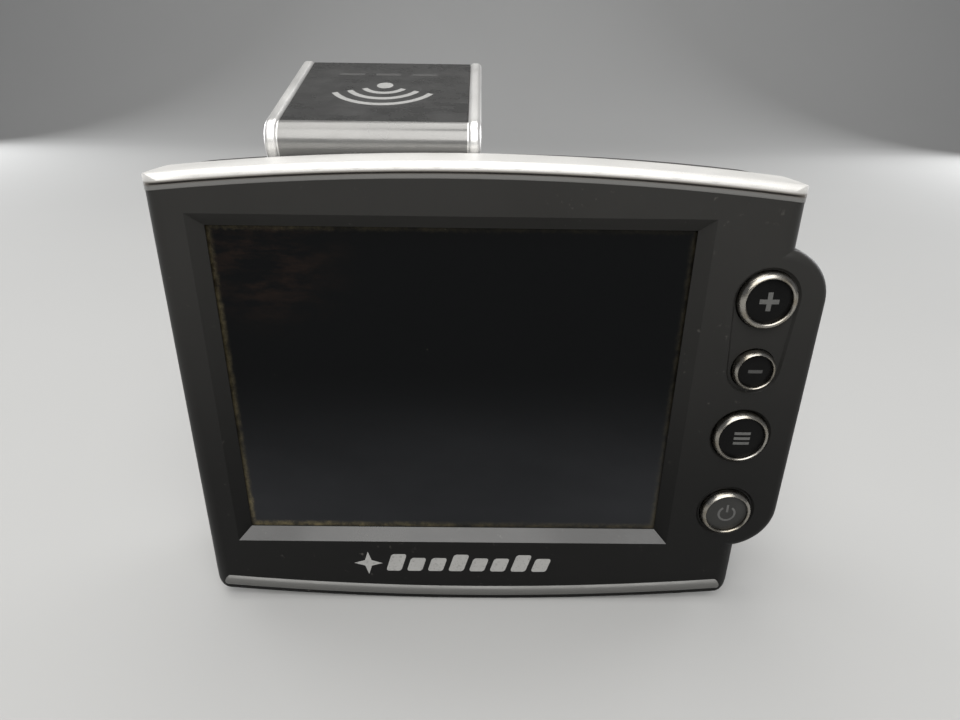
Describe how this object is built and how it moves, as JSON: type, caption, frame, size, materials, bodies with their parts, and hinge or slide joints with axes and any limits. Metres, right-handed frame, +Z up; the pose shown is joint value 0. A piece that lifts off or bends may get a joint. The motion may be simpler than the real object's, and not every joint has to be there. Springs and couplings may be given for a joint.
{
  "type": "portable gps navigator",
  "caption": "Portable car satellite navigator with a touch screen, a column of chrome-ringed keys in a side lobe and a flip-up patch antenna hinged at the top rear.",
  "frame": {"origin": "centre of the flat land under the rear housing, on which it stands", "axes": "+X to the user's right, +Y from the screen to the back, +Z up"},
  "size_m": [0.1002, 0.0448, 0.09],
  "materials": {
    "black_shell": "satin",
    "silver_trim": "satin silver paint",
    "silver_rails": "satin silver paint",
    "flap_black": "gloss",
    "chrome_ring": "polished",
    "key_black": "gloss",
    "key_grey": "satin",
    "foam": "matte",
    "screen_glass": "gloss",
    "display_glass": "satin",
    "light_guide": "satin",
    "sheet_steel": "satin",
    "ribbon": "satin",
    "circuit_board": "satin",
    "chip_resin": "matte",
    "gold_plate": "polished",
    "socket_plastic": "matte",
    "cell_foil": "satin",
    "speaker_steel": "satin",
    "mesh_cloth": "matte",
    "lead_sheath": "matte",
    "screw_steel": "satin black zinc",
    "ceramic_tile": "matte",
    "silver_electrode": "satin",
    "card_plastic": "satin",
    "pin_steel": "polished"
  },
  "bodies": {
    "body": {"front_bezel": "black_shell", "rear_housing": "black_shell", "top_trim": "silver_trim", "bottom_trim": "silver_trim", "window_gasket": "foam", "touch_panel": "screen_glass", "lcd_panel": "display_glass", "backlight": "light_guide", "lcd_frame": "sheet_steel", "lcd_flex": "ribbon", "keypad_board": "circuit_board", "dome_switches": "sheet_steel", "keypad_screws": "screw_steel", "keypad_flex": "ribbon", "case_screws": "screw_steel", "main_board": "circuit_board", "board_screws": "screw_steel", "main_chips": "chip_resin", "shield_can": "sheet_steel", "receiver_chip": "chip_resin", "sd_socket": "socket_plastic", "usb_socket": "sheet_steel", "audio_jack": "socket_plastic", "coax_socket": "gold_plate", "battery": "cell_foil", "battery_pad": "foam", "battery_lead": "lead_sheath", "speaker": "speaker_steel", "speaker_mesh": "mesh_cloth", "speaker_lead": "lead_sheath", "hinge_pins": "pin_steel", "hinge_washers": "pin_steel", "aerial_lead_body": "lead_sheath", "coax_plug": "gold_plate"},
    "antenna": {"antenna_frame": "silver_rails", "antenna_cover": "flap_black", "antenna_base": "flap_black", "antenna_board": "circuit_board", "patch_element": "ceramic_tile", "patch_electrode": "silver_electrode", "lna_shield": "sheet_steel", "antenna_screws": "screw_steel", "aerial_lead_flap": "lead_sheath"},
    "memory_card": {"sd_card": "card_plastic", "sd_contacts": "gold_plate"},
    "plus_key": {"plus_cap": "key_black", "plus_ring": "chrome_ring"},
    "minus_key": {"minus_cap": "key_black", "minus_ring": "chrome_ring"},
    "menu_key": {"menu_cap": "key_black", "menu_ring": "chrome_ring"},
    "power_key": {"power_cap": "key_grey", "power_ring": "chrome_ring"}
  },
  "joints": [
    {"name": "antenna_hinge", "type": "hinge", "parent": "body", "child": "antenna", "pos_m": [0, 0.0004, 0.07355], "axis": [1, 0, 0], "range_deg": [-107.2, 0]},
    {"name": "card_slide", "type": "slide", "parent": "body", "child": "memory_card", "axis": [-1, 0, 0], "range_m": [0, 0.03]},
    {"name": "plus_press", "type": "slide", "parent": "body", "child": "plus_key", "axis": [0, 1, 0], "range_m": [0, 0.0006], "stiffness_N_per_m": 500},
    {"name": "minus_press", "type": "slide", "parent": "body", "child": "minus_key", "axis": [0, 1, 0], "range_m": [0, 0.0006], "stiffness_N_per_m": 500},
    {"name": "menu_press", "type": "slide", "parent": "body", "child": "menu_key", "axis": [0, 1, 0], "range_m": [0, 0.0006], "stiffness_N_per_m": 500},
    {"name": "power_press", "type": "slide", "parent": "body", "child": "power_key", "axis": [0, 1, 0], "range_m": [0, 0.0006], "stiffness_N_per_m": 500}
  ]
}
